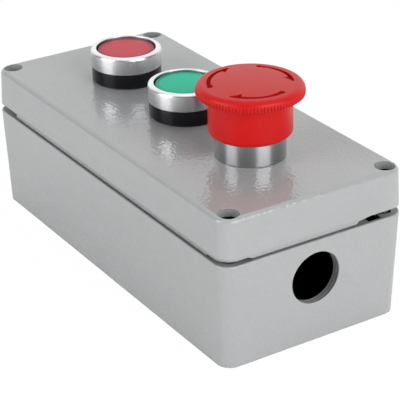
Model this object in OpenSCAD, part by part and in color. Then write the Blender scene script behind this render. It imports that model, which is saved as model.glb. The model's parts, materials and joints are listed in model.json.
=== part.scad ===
// Three-button control station: a die-cast box with a red stop mushroom and two flush push buttons.
// Millimetres. X runs along the box towards the gland hole, Z points up out of the lid.
// The origin is the middle of the base's underside.

/* [Box] */
// Length of the box at its split line
box_length = 175; // [172:1:185]
// Width of the box at its split line
box_width = 80; // [78:1:86]
// Height of the closed box without its buttons
box_height = 60; // [58:0.1:62]
// Height of the base casting up to its rim
rim_height = 42.1; // [40:0.1:43]
// Gap that shows between the two castings
seam = 1.1; // [0.8:0.1:1.4]
// Thickness of the base's walls
wall = 4; // [3.8:0.1:4.4]
// Thickness of the lid where the buttons sit
lid_plate = 3.2; // [2.8:0.1:3.6]
// Radius of the upright corners
corner_radius = 6; // [4.5:0.5:7]
// Slope of the base's sides in degrees
base_draft = 1.8; // [1:0.1:2.4]
// Slope of the lid's sides in degrees
lid_draft = 2.1; // [1.5:0.1:3.2]

/* [Openings] */
// Diameter of the hole for the cable gland
gland_d = 20.5; // [16:0.1:20.5]
// Height of the gland hole above the underside
gland_height = 26.5; // [24:0.5:27]
// Diameter of the two holes that fix the box to a wall
wall_hole_d = 5.5; // [4.5:0.1:6]

/* [Buttons] */
// Distance from one button to the next
pitch = 45.3; // [43:0.1:48]
// Diameter of the bezels of the flush buttons
bezel_d = 29; // [28:0.1:29]
// Height of a flush button above the lid
button_height = 13.4; // [12.8:0.1:14]
// How far a flush button goes down
button_travel = 3.5; // [2.5:0.1:3.5]
// Diameter of the stop mushroom
mushroom_d = 40.2; // [38:0.1:42]
// How far the stop mushroom goes down
stop_travel = 5; // [4:0.1:5]
// Teeth round the brim of the mushroom
grip_teeth = 100; // [60:2:110]

/* [Hidden] */
$fn = 96;

// Colours
paint = "#a6a8a8";
dark_rubber = "#2a2a2c";
black_plastic = "#1b1b1d";
grey_plastic = "#5c6064";
ivory_plastic = "#d8d2c2";
bright_metal = "#c9ccd0";
turned_steel = "#9a9da2";
brass_metal = "#b99a4f";
copper_metal = "#b8734a";
stop_red = "#c8282a";
cap_red = "#b8404a";
cap_green = "#2fa77c";

// Box: heights, slopes and the outline inside the screw corners
slice = 0.02;
lid_edge = rim_height + seam;
base_slope = tan(base_draft);
lid_slope = tan(lid_draft);
floor_t = 4;
rim_round = 0.8;
lid_low_round = 1.4;
lid_top_round = 1.8;
screw_at = [box_length / 2 - 5.6, box_width / 2 - 6.1];
well_at = [box_length / 2 - 6.5, box_width / 2 - 18.5];
well_r = 4.5;
corner_x = 13;
small_corner_y = 12.5;
big_corner_y = 25.5;
ledge_drop = 1;
tongue_t = 1.6;
tongue_h = 2.2;
groove_gap = 0.5;
groove_depth = 4.2;
gasket_gap = 0.1;
relief_h = 1.6;
relief_in = 10.5;
relief_side = 18.5;
relief_end = 22;
skirt_t = 1.9;
hull_fn = 32;

// Lid screws
screw_r = 1.95;
tapped_r = 2;
screw_hole_r = 2.3;
recess_r = 4;
recess_depth = 7.4;
screw_head_r = 3.5;
screw_head_h = 2.6;
screw_length = 25;
boss_gap = 0.1;
boss_r = 4;

// Buttons: heights measured from the top of the lid
panel = box_height;
under = box_height - lid_plate;
red_x = -pitch;
green_x = 0;
stop_x = pitch;
seal_t = 0.6;
ring_top = panel + 6.4;
button_top = panel + button_height;
hole_r = 11.15;
thread_r = 10.9;
barrel_end = panel - 18;
nut_h = 3.5;
nut_r = 15.6;
run_gap = 0.06;
free_gap = 0.35;

// Flush button
cap_r = 11.7;
spigot_r = 13.15;
stem_r = 5;
guide_r = 9.13;
barrel_floor = panel + 0.6;
barrel_floor_t = 1.6;
cap_top = button_top - 0.7;
cap_skirt = barrel_floor + barrel_floor_t + button_travel + 0.4;
disc_top = cap_top - 1.8;
disc_t = 1.8;
stem_end = barrel_end;

// Stop button
collar_r = 13.3;
collar_top = panel + 19.6;
chamber_r = 10;
chamber_floor = panel + 5.8;
core_r = 6;
core_head_r = 9.6;
core_head_top = panel + 21.7;
core_head_t = 2.6;
stud_r = 5;
skirt_r = 15.7;
skirt_bottom = panel + 8.7;
brim_bottom = panel + 24.4;
grip_top = panel + 26.8;
grip_depth = 0.45;
brim_r = mushroom_d / 2;
brim_edge_r = 2.6;
mushroom_top = panel + 29;
crown = 0.6;
mushroom_ceiling = mushroom_top - 3;
arrow_r = 15.2;
arrow_start = 14;
arrow_sweep = 62;
arrow_w = 0.9;
arrow_depth = 0.5;
head_sweep = 14;

// Contact block under each button
block_x = 28;
block_y = 30;
block_h = 26;
block_wall = 1.6;
block_bottom = barrel_end - block_h;
block_step = block_bottom + 9.5;
contact_y = 7;
carrier_top = barrel_end;
carrier_bottom = block_bottom + 12.6;
carrier_x = 6;
carrier_y = 20;
slot_gap = 0.15;
bridge_z = block_bottom + 18.4;
bridge_t = 0.7;
strip_t = 0.8;
pad_r = 1.6;
pad_t = 0.5;
terminal_x = 9.7;
terminal_screw_r = 1.5;
terminal_head_r = 2.9;

// Rounded outlines
function unit(v) = v / norm(v);
function wrap(a) = a > 180 ? a - 360 : a < -180 ? a + 360 : a;
function fillet(a, b, c, r, n = 6) =
    let (u = unit(a - b),
         v = unit(c - b),
         half = acos(u * v) / 2,
         centre = b + unit(u + v) * r / sin(half),
         first = b + u * r / tan(half) - centre,
         last = b + v * r / tan(half) - centre,
         start = atan2(first[1], first[0]),
         sweep = wrap(atan2(last[1], last[0]) - start))
    [for (k = [0:n]) centre + r * [cos(start + sweep * k / n), sin(start + sweep * k / n)]];
function rounded(points, radii, n = 6) =
    let (count = len(points))
    [for (i = [0:count - 1])
        each (radii[i] > 0
            ? fillet(points[(i + count - 1) % count], points[i], points[(i + 1) % count], radii[i], n)
            : [points[i]])];

// Outline of the sealed space, grown outwards by g; it steps in round the screw corners
function inner_outline(g) =
    let (x = box_length / 2 - wall + g,
         y = box_width / 2 - wall + g,
         cx = box_length / 2 - corner_x + g,
         by = box_width / 2 - big_corner_y + g,
         sy = box_width / 2 - small_corner_y + g,
         half = [[x, -sy], [x, by], [cx, by], [cx, y], [-cx, y], [-cx, sy]],
         outer = 2.5 + g * 0.5,
         inner = 3 - g * 0.5)
    rounded(concat(half, -half), [for (i = [0:1]) each [outer, outer, inner, outer, outer, inner]]);

module plate(length, width, r) {
    square([length - 2 * r, width], center = true);
    square([length, width - 2 * r], center = true);
    for (x = [-1, 1], y = [-1, 1])
        translate([x * (length / 2 - r), y * (width / 2 - r)])
            circle(r, $fn = hull_fn);
}

// Rounded block through slices, each given as height and inset from the box's outline
module casting(slices, r = corner_radius) {
    hull()
        for (s = slices)
            translate([0, 0, s[0]])
                linear_extrude(slice)
                    plate(box_length - 2 * s[1], box_width - 2 * s[1], r - min(s[1] * 0.3, r / 2));
}

module ring_outline(outer, inner) {
    difference() {
        polygon(inner_outline(outer));
        polygon(inner_outline(inner));
    }
}

module at_corners() {
    for (x = [-1, 1], y = [-1, 1])
        translate([x * screw_at[0], y * screw_at[1], 0])
            children();
}

module both_ends() {
    for (a = [0, 180])
        rotate(a)
            children();
}

module tube(outer, inner, low, high) {
    translate([0, 0, low])
        linear_extrude(high - low)
            difference() {
                circle(outer);
                circle(inner);
            }
}

module disc(r, low, high) {
    translate([0, 0, low])
        cylinder(r = r, h = high - low);
}

// Base casting
module base_outer() {
    foot = rim_height * base_slope;
    casting([
        [0, foot + 0.3],
        [0.3, foot],
        [rim_height - rim_round, rim_round * base_slope],
        [rim_height - rim_round * 0.35, rim_round * 0.3],
        [rim_height - slice, rim_round]
    ]);
}

module corner_blocks(grow, low, high) {
    both_ends() {
        translate([box_length / 2 - corner_x - grow, box_width / 2 - big_corner_y - grow, low])
            cube([corner_x + grow, big_corner_y + grow, high - low]);
        translate([box_length / 2 - corner_x - grow, -box_width / 2, low])
            cube([corner_x + grow, small_corner_y + grow, high - low]);
    }
}

module base_space() {
    difference() {
        casting([
            [floor_t, wall + (rim_height - floor_t) * base_slope],
            [rim_height + slice, wall]
        ], corner_radius - wall * 0.5);
        corner_blocks(0, 0, rim_height - ledge_drop);
    }
}

module base_ribs() {
    rib_h = 2.2;
    rib_t = 2;
    for (x = [-66, -22.5, 22.5])
        translate([x - rib_t / 2, -box_width / 2 + wall, floor_t - 1])
            cube([rib_t, box_width - 2 * wall, rib_h + 1]);
}

module base_housing() {
    color(paint)
        difference() {
            union() {
                difference() {
                    base_outer();
                    base_space();
                }
                translate([0, 0, rim_height - 3])
                    linear_extrude(tongue_h + 3)
                        ring_outline(tongue_t, 0);
                at_corners()
                    disc(boss_r, rim_height - 5, lid_edge + relief_h - boss_gap);
                base_ribs();
                translate([earth_at[0], earth_at[1], floor_t - 1])
                    cylinder(r = 4.2, h = earth_h + 1);
            }
            at_corners()
                disc(tapped_r, 18, box_height);
            both_ends()
                translate([well_at[0], well_at[1], 0]) {
                    disc(well_r, 5, box_height);
                    disc(wall_hole_d / 2, -1, 6);
                }
            translate([earth_at[0], earth_at[1], 0])
                disc(tapped_r, floor_t + 1, box_height);
            translate([box_length / 2 - wall * 2, 0, gland_height])
                rotate([0, 90, 0])
                    cylinder(d = gland_d, h = wall * 4);
        }
}

// Lid casting
module lid_outer() {
    high = box_height - lid_edge;
    casting([
        [lid_edge, lid_low_round],
        [lid_edge + lid_low_round * 0.15, lid_low_round * 0.5],
        [lid_edge + lid_low_round * 0.45, lid_low_round * 0.2],
        [lid_edge + lid_low_round, lid_low_round * lid_slope],
        [box_height - lid_top_round, (high - lid_top_round) * lid_slope],
        [box_height - lid_top_round * 0.5, (high - lid_top_round * 0.5) * lid_slope + lid_top_round * 0.14],
        [box_height - lid_top_round * 0.14, high * lid_slope + lid_top_round * 0.5],
        [box_height - slice, high * lid_slope + lid_top_round]
    ]);
}

module lid_space() {
    rim_w = wall + 2.1;
    difference() {
        casting([
            [lid_edge - slice, rim_w],
            [under - slice, rim_w + (under - lid_edge) * lid_slope]
        ], corner_radius - 1.5);
        corner_blocks(2.1, 0, box_height);
    }
}

module lid_relief() {
    tall = relief_h + 1;
    both_ends() {
        translate([box_length / 2 - relief_in, box_width / 2 - relief_end, lid_edge - 1])
            cube([relief_in + 1, relief_end + 1, tall]);
        translate([box_length / 2 - relief_side, box_width / 2 - skirt_t, lid_edge - 1])
            cube([relief_side + 1, skirt_t + 1, tall]);
        translate([box_length / 2 - relief_in, -box_width / 2 - 1, lid_edge - 1])
            cube([relief_in + 1, relief_in + 1, tall]);
    }
}

module lid() {
    color(paint)
        difference() {
            lid_outer();
            lid_space();
            lid_relief();
            translate([0, 0, lid_edge - 1])
                linear_extrude(groove_depth + 1)
                    ring_outline(tongue_t + groove_gap, -groove_gap);
            at_corners() {
                disc(recess_r, box_height - recess_depth, box_height + 1);
                disc(screw_hole_r, 0, box_height);
            }
            for (x = [red_x, green_x, stop_x])
                translate([x, 0, 0])
                    disc(hole_r, 0, box_height + 1);
        }
}

module lid_gasket() {
    low = rim_height + tongue_h;
    color(dark_rubber)
        translate([0, 0, low])
            linear_extrude(lid_edge + groove_depth - low)
                ring_outline(tongue_t + groove_gap - gasket_gap, -groove_gap + gasket_gap);
}

module slotted_head(r, low, high, slot_w, slot_d) {
    difference() {
        translate([0, 0, low])
            rotate_extrude()
                polygon([[0, 0], [r, 0], [r, (high - low) * 0.7], [r * 0.86, high - low], [0, high - low]]);
        for (a = [0, 90])
            rotate(a)
                translate([-r * 0.62, -slot_w / 2, high - slot_d])
                    cube([r * 1.24, slot_w, slot_d + 1]);
    }
}

module lid_screws() {
    seat = box_height - recess_depth;
    color(bright_metal)
        at_corners() {
            slotted_head(screw_head_r, seat, seat + screw_head_h, 1.1, 1.7);
            disc(screw_r, seat - screw_length, seat + 0.5);
        }
}

// Earth terminal on the floor of the base
earth_at = [64, -24];
earth_h = 5;
washer_t = 1;

module earth_washer() {
    low = floor_t + earth_h;
    color(brass_metal)
        translate([earth_at[0], earth_at[1], 0])
            tube(4.1, 2.1, low, low + washer_t);
}

module earth_screw() {
    seat = floor_t + earth_h + washer_t;
    color(brass_metal)
        translate([earth_at[0], earth_at[1], 0]) {
            slotted_head(3.4, seat, seat + 2.4, 0.9, 1.4);
            disc(screw_r, seat - 4.6, seat + 0.5);
        }
}

// Parts that every button has
module panel_seal(x, outer) {
    color(dark_rubber)
        translate([x, 0, 0])
            tube(outer, thread_r + 0.05, panel, panel + seal_t);
}

module ring_nut(x, tint) {
    notch_w = 3;
    color(tint)
        translate([x, 0, 0])
            difference() {
                tube(nut_r - 1, thread_r + 0.05, under - nut_h, under);
                for (a = [0:60:300])
                    rotate(a)
                        translate([nut_r - 2.6, -notch_w / 2, under - nut_h - 1])
                            cube([5, notch_w, nut_h + 2]);
            }
}

// Wire coil with n turns, its centre line on radius r
module coil(r, wire, low, high, n, steps = 14, sides = 6) {
    count = n * steps;
    rise = (high - low - 2 * wire) / count;
    points = [for (i = [0:count], k = [0:sides - 1])
        let (a = 360 * i / steps, b = 360 * k / sides, out = r + wire * cos(b))
        [out * cos(a), out * sin(a), low + wire + rise * i + wire * sin(b)]];
    skin = [for (i = [0:count - 1], k = [0:sides - 1])
        let (next = (k + 1) % sides)
        [i * sides + k, i * sides + next, (i + 1) * sides + next, (i + 1) * sides + k]];
    first = [for (k = [sides - 1:-1:0]) k];
    last = [for (k = [0:sides - 1]) count * sides + k];
    polyhedron(points, concat(skin, [first, last]), convexity = 10);
}

// Flush button
module flush_barrel(x) {
    bore_r = cap_r + free_gap + 0.05;
    edge = 0.4;
    color(black_plastic)
        translate([x, 0, 0])
            difference() {
                rotate_extrude()
                    polygon([
                        [0, barrel_end], [thread_r, barrel_end], [thread_r, panel + seal_t],
                        [bezel_d / 2 - 0.25 - edge, panel + seal_t], [bezel_d / 2 - 0.25, panel + seal_t + edge],
                        [bezel_d / 2 - 0.25, ring_top], [spigot_r, ring_top],
                        [spigot_r, ring_top + 3], [0, ring_top + 3]
                    ]);
                disc(bore_r, barrel_floor + barrel_floor_t, ring_top + 4);
                disc(stem_r + run_gap, barrel_floor - 1, barrel_floor + 3);
                disc(guide_r + 0.07, barrel_end - 1, barrel_floor);
            }
}

module flush_bezel(x) {
    r = bezel_d / 2;
    low = ring_top;
    high = button_top;
    inner = cap_r + free_gap;
    color(bright_metal)
        translate([x, 0, 0])
            rotate_extrude()
                polygon(concat(
                    [[spigot_r + 0.03, low], [r - 0.15, low], [r, low + 0.4], [r - 0.05, high - 2.6],
                     [r - 0.5, high - 2.3], [r - 0.45, high - 1.9]],
                    [for (a = [0:15:180]) [inner + 1.05 + 0.95 * cos(a), high - 0.95 + 0.95 * sin(a)]],
                    [[inner, high - 3.2], [spigot_r + 0.03, high - 3.9]]
                ));
}

module flush_cap(x, tint) {
    edge = 0.5;
    color(tint)
        translate([x, 0, 0])
            rotate_extrude()
                polygon([
                    [0, disc_top], [cap_r - 1.3, disc_top], [cap_r - 1.3, cap_skirt], [cap_r, cap_skirt],
                    [cap_r, cap_top - edge], [cap_r - edge * 0.3, cap_top - edge * 0.3],
                    [cap_r - edge, cap_top], [0, cap_top]
                ]);
}

module flush_plunger(x) {
    guide_low = barrel_end + 4.6;
    color(ivory_plastic)
        translate([x, 0, 0]) {
            disc(cap_r - 1.35, disc_top - disc_t, disc_top);
            disc(stem_r, stem_end, disc_top - disc_t);
            disc(guide_r, guide_low, guide_low + 3);
        }
}

module flush_spring(x) {
    color(bright_metal)
        translate([x, 0, 0])
            coil(7.4, 0.4, barrel_floor + barrel_floor_t, disc_top - disc_t, 3, 18);
}

// Stop button
module stop_collar() {
    color(turned_steel)
        translate([stop_x, 0, 0])
            rotate_extrude()
                polygon([
                    [core_r + run_gap, barrel_end], [thread_r, barrel_end], [thread_r, panel + seal_t],
                    [collar_r - 0.3, panel + seal_t], [collar_r, panel + seal_t + 0.3],
                    [collar_r, collar_top - 0.6], [collar_r - 0.6, collar_top], [chamber_r, collar_top],
                    [chamber_r, chamber_floor], [core_r + run_gap, chamber_floor]
                ]);
}

module stop_core() {
    color(ivory_plastic)
        translate([stop_x, 0, 0]) {
            disc(stud_r, core_head_top - 0.5, mushroom_ceiling - 0.2);
            disc(core_head_r, core_head_top - core_head_t, core_head_top);
            disc(core_r, stem_end, core_head_top - core_head_t);
        }
}

module stop_spring() {
    color(bright_metal)
        translate([stop_x, 0, 0])
            coil(8.2, 0.55, chamber_floor, core_head_top - core_head_t, 5, 16);
}

// Space between the teeth: a ring outside a prism whose corners stand just proud of the brim
module grip_grooves() {
    difference() {
        disc(brim_r + 2, brim_bottom - 1, grip_top);
        translate([0, 0, brim_bottom - 2])
            linear_extrude(grip_top - brim_bottom + 3)
                polygon([for (i = [0:2 * grip_teeth - 1])
                    let (r = brim_r + (i % 2 == 0 ? 0.12 : -grip_depth), a = 180 * i / grip_teeth)
                    [r * cos(a), r * sin(a)]]);
    }
}

module turn_arrow() {
    groove = [arrow_w, arrow_depth + 2];
    tip = arrow_start - arrow_sweep - head_sweep;
    head_r = arrow_r + arrow_w / 2 - 0.05;
    translate([0, 0, mushroom_top - arrow_depth - 0.55])
        rotate(arrow_start - arrow_sweep)
            rotate_extrude(angle = arrow_sweep)
                translate([arrow_r - arrow_w / 2, 0])
                    square(groove);
    translate([0, 0, mushroom_top - arrow_depth - 0.55])
        linear_extrude(groove[1])
            polygon([
                head_r * [cos(tip + head_sweep + 1), sin(tip + head_sweep + 1)],
                (arrow_r - 2.6) * [cos(tip + head_sweep + 1), sin(tip + head_sweep + 1)],
                (arrow_r - 0.3) * [cos(tip), sin(tip)],
                head_r * [cos(tip + head_sweep * 0.5), sin(tip + head_sweep * 0.5)]
            ]);
    translate([arrow_r * cos(arrow_start), arrow_r * sin(arrow_start), mushroom_top - arrow_depth - 0.55])
        cylinder(r = arrow_w * 0.75, h = groove[1]);
}

module mushroom_body() {
    rim_z = mushroom_top - crown;
    flat_r = brim_r - 2.8;
    inner = collar_r + free_gap;
    skirt_round = skirt_r - inner - 0.05;
    lip_z = grip_top + 0.15;
    low_angle = asin((lip_z - rim_z + brim_edge_r) / brim_edge_r);
    edge_centre = [brim_r - brim_edge_r, rim_z - brim_edge_r];
    difference() {
        rotate_extrude()
            polygon(concat(
                [[0, mushroom_ceiling], [inner, mushroom_ceiling], [inner, skirt_bottom]],
                fillet([inner, skirt_bottom], [skirt_r, skirt_bottom], [skirt_r, brim_bottom], skirt_round),
                [[skirt_r, brim_bottom], [brim_r, brim_bottom], [brim_r, lip_z]],
                [for (k = [0:5])
                    let (a = low_angle + (90 - low_angle) * k / 5)
                    edge_centre + brim_edge_r * [cos(a), sin(a)]],
                [for (k = [0.8:-0.2:0]) [flat_r * k, mushroom_top - crown * k * k]]
            ));
        grip_grooves();
    }
}

module stop_mushroom() {
    color(stop_red)
        translate([stop_x, 0, 0])
            difference() {
                union() {
                    mushroom_body();
                    disc(chamber_r - 1, core_head_top + 0.1, mushroom_ceiling + 0.5);
                }
                disc(stud_r + run_gap, core_head_top - 1, mushroom_ceiling);
                for (a = [0:120:240])
                    rotate(a)
                        turn_arrow();
            }
}

// Contact block: housing, four terminals and the carrier with its two bridges
module block_shell() {
    room_top = barrel_end - 2;
    room_x = block_x - 2 * block_wall;
    room_y = block_y - 2 * block_wall;
    cut = 2.5;
    difference() {
        translate([0, 0, block_bottom])
            linear_extrude(block_h)
                polygon([for (a = [0:3]) each
                    let (sx = a == 0 || a == 3 ? 1 : -1, sy = a < 2 ? 1 : -1,
                         p = [sx * block_x / 2, sy * (block_y / 2 - cut)],
                         q = [sx * (block_x / 2 - cut), sy * block_y / 2])
                    (a % 2 == 0 ? [p, q] : [q, p])]);
        translate([-room_x / 2, -room_y / 2, block_step])
            cube([room_x, room_y, room_top - block_step]);
        disc(core_r + free_gap, room_top - 1, barrel_end + 1);
        translate([-carrier_x / 2 - slot_gap, -carrier_y / 2 - slot_gap, block_bottom + 3])
            cube([carrier_x + 2 * slot_gap, carrier_y + 2 * slot_gap, block_h]);
        for (x = [-1, 1], y = [-1, 1])
            translate([x * terminal_x, y * contact_y, 0]) {
                disc(terminal_head_r + 0.3, block_bottom - 1, block_bottom + 4.6);
                disc(terminal_screw_r + 0.1, block_bottom, block_step + 1);
                translate([x > 0 ? 0 : -6, -2.4, block_bottom + 4.6])
                    cube([6, 4.8, 2.6]);
            }
    }
}

module block_housing(x) {
    color(grey_plastic)
        translate([x, 0, 0])
            block_shell();
}

// A terminal strip: foot under the screw, upright at the wall and arm with its contact pad
module terminal(side, y, arm_z, pad_up) {
    strip_w = 4;
    outer_x = block_x / 2 - block_wall - 0.2;
    inner_x = 7;
    foot_z = block_step;
    mirror([side < 0 ? 1 : 0, 0, 0])
            translate([0, y - strip_w / 2, 0]) {
                difference() {
                    translate([inner_x, 0, foot_z])
                        cube([outer_x - inner_x, strip_w, strip_t]);
                    translate([terminal_x, strip_w / 2, 0])
                        disc(terminal_screw_r + 0.05, foot_z - 1, foot_z + 2);
                }
                translate([outer_x - strip_t, 0, foot_z])
                    cube([strip_t, strip_w, arm_z + strip_t - foot_z]);
                translate([inner_x, 0, arm_z])
                    cube([outer_x - inner_x, strip_w, strip_t]);
                translate([inner_x + pad_r, strip_w / 2, 0])
                    disc(pad_r, arm_z - (pad_up ? 0 : pad_t), arm_z + strip_t + (pad_up ? pad_t : 0));
            }
}

module terminals(x, travel) {
    closed_z = bridge_z + bridge_t + pad_t + 0.1;
    open_z = bridge_z - travel - strip_t - 2 * pad_t - 0.1;
    color(brass_metal)
        translate([x, 0, 0])
            for (side = [-1, 1]) {
                terminal(side, -contact_y, closed_z, false);
                terminal(side, contact_y, open_z, true);
            }
}

module terminal_screws(x) {
    color(bright_metal)
        translate([x, 0, 0])
            for (sx = [-1, 1], sy = [-1, 1])
                translate([sx * terminal_x, sy * contact_y, 0]) {
                    mirror([0, 0, 1])
                        slotted_head(terminal_head_r, -block_bottom - 4.4, -block_bottom - 2.2, 0.7, 1.1);
                    disc(terminal_screw_r, block_bottom + 4, block_step + 1.6);
                }
}

module carrier(x) {
    window = bridge_t + 2;
    color(ivory_plastic)
        translate([x, 0, 0])
            difference() {
                translate([-carrier_x / 2, -carrier_y / 2, carrier_bottom])
                    cube([carrier_x, carrier_y, carrier_top - carrier_bottom]);
                for (y = [-contact_y, contact_y])
                    translate([-carrier_x, y - 1.9, bridge_z])
                        cube([2 * carrier_x, 3.8, window]);
                disc(2.9, carrier_bottom - 1, carrier_bottom + 1.5);
            }
}

module bridges(x) {
    reach = 20;
    color(copper_metal)
        translate([x, 0, 0])
            for (y = [-contact_y, contact_y]) {
                translate([-reach / 2, y - 1.8, bridge_z])
                    cube([reach, 3.6, bridge_t]);
                for (side = [-1, 1])
                    translate([side * 8.6, y, 0])
                        disc(pad_r - 0.2, bridge_z - (y > 0 ? pad_t : 0), bridge_z + bridge_t + (y > 0 ? 0 : 0.05));
            }
}

module block_spring(x) {
    color(bright_metal)
        translate([x, 0, 0])
            coil(2.3, 0.3, block_bottom + 3, carrier_bottom + 1.5, 7, 10, 5);
}

base_housing();
lid();
lid_gasket();
lid_screws();
earth_screw();
earth_washer();

flush_barrel(red_x);  // red_barrel
flush_bezel(red_x);  // red_bezel
panel_seal(red_x, 13.6);  // red_panel_seal
ring_nut(red_x, black_plastic);  // red_ring_nut
flush_cap(red_x, cap_red);  // red_cap
flush_plunger(red_x);  // red_plunger
flush_spring(red_x);  // red_return_spring
block_housing(red_x);  // red_block_housing
terminals(red_x, button_travel);  // red_terminals
terminal_screws(red_x);  // red_terminal_screws
carrier(red_x);  // red_carrier
bridges(red_x);  // red_bridges
block_spring(red_x);  // red_block_spring

flush_barrel(green_x);  // green_barrel
flush_bezel(green_x);  // green_bezel
panel_seal(green_x, 13.6);  // green_panel_seal
ring_nut(green_x, black_plastic);  // green_ring_nut
flush_cap(green_x, cap_green);  // green_cap
flush_plunger(green_x);  // green_plunger
flush_spring(green_x);  // green_return_spring
block_housing(green_x);  // green_block_housing
terminals(green_x, button_travel);  // green_terminals
terminal_screws(green_x);  // green_terminal_screws
carrier(green_x);  // green_carrier
bridges(green_x);  // green_bridges
block_spring(green_x);  // green_block_spring

stop_collar();
panel_seal(stop_x, 12.8);  // stop_panel_seal
ring_nut(stop_x, turned_steel);  // stop_ring_nut
stop_mushroom();
stop_core();
stop_spring();  // stop_return_spring
block_housing(stop_x);  // stop_block_housing
terminals(stop_x, stop_travel);  // stop_terminals
terminal_screws(stop_x);  // stop_terminal_screws
carrier(stop_x);  // stop_carrier
bridges(stop_x);  // stop_bridges
block_spring(stop_x);  // stop_block_spring
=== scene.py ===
import json
import math

import bmesh
import bpy
from mathutils import Matrix, Vector


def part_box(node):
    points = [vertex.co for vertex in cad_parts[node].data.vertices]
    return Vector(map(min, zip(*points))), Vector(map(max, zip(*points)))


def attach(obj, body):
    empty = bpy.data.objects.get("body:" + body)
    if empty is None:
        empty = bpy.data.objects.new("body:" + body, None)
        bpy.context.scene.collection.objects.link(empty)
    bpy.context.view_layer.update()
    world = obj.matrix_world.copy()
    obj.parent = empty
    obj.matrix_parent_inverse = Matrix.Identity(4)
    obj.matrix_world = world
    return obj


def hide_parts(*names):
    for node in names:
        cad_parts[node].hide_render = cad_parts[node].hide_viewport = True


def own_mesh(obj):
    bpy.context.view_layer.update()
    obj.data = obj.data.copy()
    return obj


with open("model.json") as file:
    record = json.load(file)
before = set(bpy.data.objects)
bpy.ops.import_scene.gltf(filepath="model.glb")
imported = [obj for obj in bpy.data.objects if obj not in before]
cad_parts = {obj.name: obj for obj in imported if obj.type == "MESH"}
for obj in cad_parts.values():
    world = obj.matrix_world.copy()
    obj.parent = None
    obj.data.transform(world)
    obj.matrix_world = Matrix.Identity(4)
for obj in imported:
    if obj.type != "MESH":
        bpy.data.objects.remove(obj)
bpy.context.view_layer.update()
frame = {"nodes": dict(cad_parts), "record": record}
mm = 0.001
print("frame loaded,", len(frame["nodes"]), "nodes")


# Reads the frame in millimetres, the unit of the pieces below
def span(node):
    low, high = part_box(node)
    return [v / mm for v in low], [v / mm for v in high]


def radiusOf(node):
    low, high = span(node)
    return (high[0] - low[0]) / 2


def middleOf(node):
    low, high = span(node)
    return (high[0] + low[0]) / 2


def lowOf(node):
    return span(node)[0][2]


def topOf(node):
    return span(node)[1][2]


# Sizes that several pieces share
station = {
    "length": 175.0,
    "width": 80.0,
    "corner": 6.0,
    "wall": 4.0,
    "seam": 1.25,  # rim of the base, below the CAD lid
    "lidDrop": 0.75,  # lower edge of the lid, below the CAD lid
    "screwInset": (5.6, 6.1),
    "wellInset": (6.5, 18.5),
    "sealHeight": 0.6,
    "stepIn": 13.0,  # corner steps, from the end and from the sides
    "stepLong": 25.5,
    "stepShort": 12.5,
    "convex": 2.5,
    "concave": 3.0,
    "overcut": 3.0,  # how far a cutter stands out of what it cuts
}
halfX, halfY = station["length"] / 2, station["width"] / 2
lidTop = topOf("lid")
lidEdge = lowOf("lid") - station["lidDrop"]
rim = lowOf("lid") - station["seam"]
panel = lidTop + station["sealHeight"]
wall, over = station["wall"], station["overcut"]
screwPlaces = [(sx * (halfX - station["screwInset"][0]), sy * (halfY - station["screwInset"][1]))
               for sx, sy in ((1, 1), (-1, 1), (-1, -1), (1, -1))]
buttonPlaces = {"red": middleOf("red_cap"), "green": middleOf("green_cap"), "stop": middleOf("stop_collar")}
stopX = buttonPlaces["stop"]


# Mesh helpers
creaseAngle = 32


def finishMesh(name, verts, faces, smoothAngle=creaseAngle):
    mesh = bpy.data.meshes.new(name)
    mesh.from_pydata([(x * mm, y * mm, z * mm) for x, y, z in verts], [], faces)
    bm = bmesh.new()
    bm.from_mesh(mesh)
    bmesh.ops.remove_doubles(bm, verts=bm.verts, dist=1e-7)
    bmesh.ops.recalc_face_normals(bm, faces=bm.faces)
    bm.to_mesh(mesh)
    bm.free()
    shadeSmooth(mesh, smoothAngle)
    return addObject(name, mesh)


def addObject(name, data):
    obj = bpy.data.objects.new(name, data)
    bpy.context.scene.collection.objects.link(obj)
    return obj


def shadeSmooth(mesh, angle):
    mesh.polygons.foreach_set("use_smooth", [True] * len(mesh.polygons))
    mesh.set_sharp_from_angle(angle=math.radians(angle))
    mesh.update()


# Skin over loops of the same count; ring joins the last loop to the first
def bridgeLoops(loops, closed=True, ring=False):
    verts = [point for loop in loops for point in loop]
    faces = []
    count = len(loops[0])
    last = len(loops) if ring else len(loops) - 1
    for j in range(last):
        a, b = j * count, ((j + 1) % len(loops)) * count
        for i in range(count):
            k = (i + 1) % count
            faces.append((a + i, a + k, b + k, b + i))
    if closed and not ring:
        faces.append(tuple(reversed(range(count))))
        faces.append(tuple((len(loops) - 1) * count + i for i in range(count)))
    return verts, faces


# Turns a closed outline of (radius, z) about a vertical axis; shape may move a point
def lathe(name, profile, centreX=0.0, segments=160, shape=None, smoothAngle=creaseAngle):
    turns = [2 * math.pi * i / segments for i in range(segments)]
    loops = []
    for r, z in profile:
        loop = []
        for a in turns:
            rr, zz = shape(a, r, z) if shape else (r, z)
            loop.append((centreX + rr * math.cos(a), rr * math.sin(a), zz))
        loops.append(loop)
    onAxis = profile[0][0] < 1e-6 and profile[-1][0] < 1e-6
    verts, faces = bridgeLoops(loops, False) if onAxis else bridgeLoops(loops, ring=True)
    return finishMesh(name, verts, faces, smoothAngle)


def arc(cx, cy, r, start, stop, steps):
    angles = [math.radians(start + (stop - start) * i / steps) for i in range(steps + 1)]
    return [(cx + r * math.cos(a), cy + r * math.sin(a)) for a in angles]


def roundedRect(x, y, r, z, steps=12):
    points = []
    for sx, sy, start in ((1, 1, 0), (-1, 1, 90), (-1, -1, 180), (1, -1, 270)):
        corner = arc(sx * (x - r), sy * (y - r), r, start, start + 90, steps)
        points += [(px, py, z) for px, py in corner]
    return points


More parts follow.
